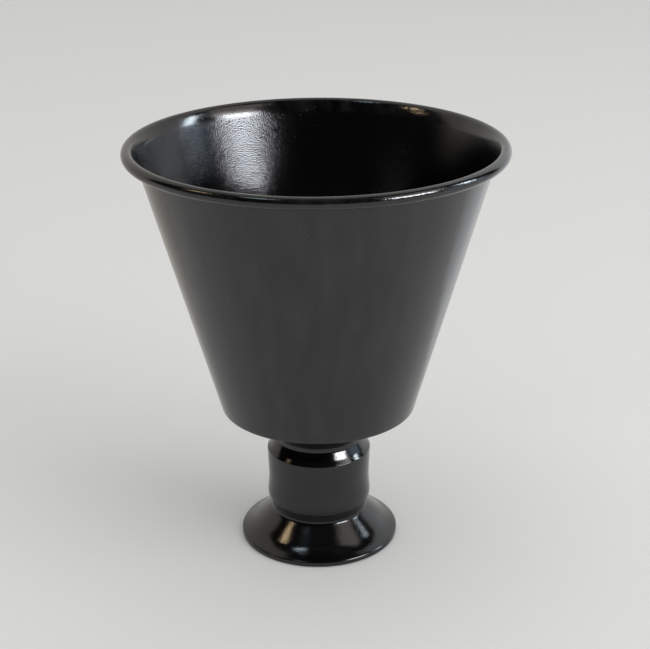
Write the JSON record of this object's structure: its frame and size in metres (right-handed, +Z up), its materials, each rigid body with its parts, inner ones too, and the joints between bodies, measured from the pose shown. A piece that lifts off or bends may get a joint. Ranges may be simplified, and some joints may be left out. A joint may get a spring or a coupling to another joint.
{
  "type": "ashtray bin",
  "caption": "Conical sheet-metal ashtray bin with a rolled rim, standing on a turned pedestal with a flared, weighted foot.",
  "frame": {"origin": "centre of the circle that the rubber ring stands on, at floor level", "axes": "+Z up along the bin's axis; the bin is a body of revolution, so +X and +Y are any two level directions at right angles"},
  "size_m": [0.26, 0.26, 0.2945],
  "materials": {
    "black_coat": "gloss black powder coat with fine orange peel",
    "black_rubber": "matt",
    "zinc_steel": "bright zinc plate",
    "raw_iron": "as cast, dark primer"
  },
  "bodies": {
    "root": {"bowl": "black_coat", "neck": "black_coat", "barrel": "black_coat", "foot": "black_coat", "floor_seal": "black_rubber", "bowl_gasket": "black_rubber", "base_ring": "black_rubber", "load_washer": "zinc_steel", "dome_nut": "zinc_steel", "centring_disc": "zinc_steel", "distance_tube": "zinc_steel", "tie_rod": "zinc_steel", "ballast_washer": "zinc_steel", "spring_washer": "zinc_steel", "base_nut": "zinc_steel", "ballast": "raw_iron"}
  },
  "joints": []
}
